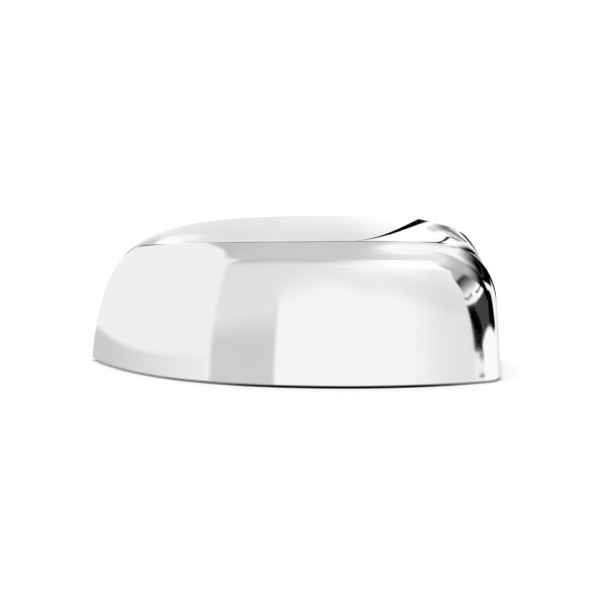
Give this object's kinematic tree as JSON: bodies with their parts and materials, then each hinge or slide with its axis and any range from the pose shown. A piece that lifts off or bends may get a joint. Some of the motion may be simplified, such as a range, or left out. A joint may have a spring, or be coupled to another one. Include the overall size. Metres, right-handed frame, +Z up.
{
  "type": "wing mirror cover",
  "caption": "Bright plated upper cap of a car door mirror: a thin curved shell with a rolled front edge, a crease, a diagonal step in the top and snap clips inside.",
  "frame": {"origin": "on the plane of the bottom rim, in the middle of the length and the depth", "axes": "+X towards the outboard end, along the length; +Y from the front to the rear rim; +Z up"},
  "size_m": [0.24, 0.08, 0.0855],
  "materials": {
    "chrome": "polished bright plating outside, satin plating inside"
  },
  "bodies": {
    "root": {"mirror_cover": "chrome"}
  },
  "joints": []
}
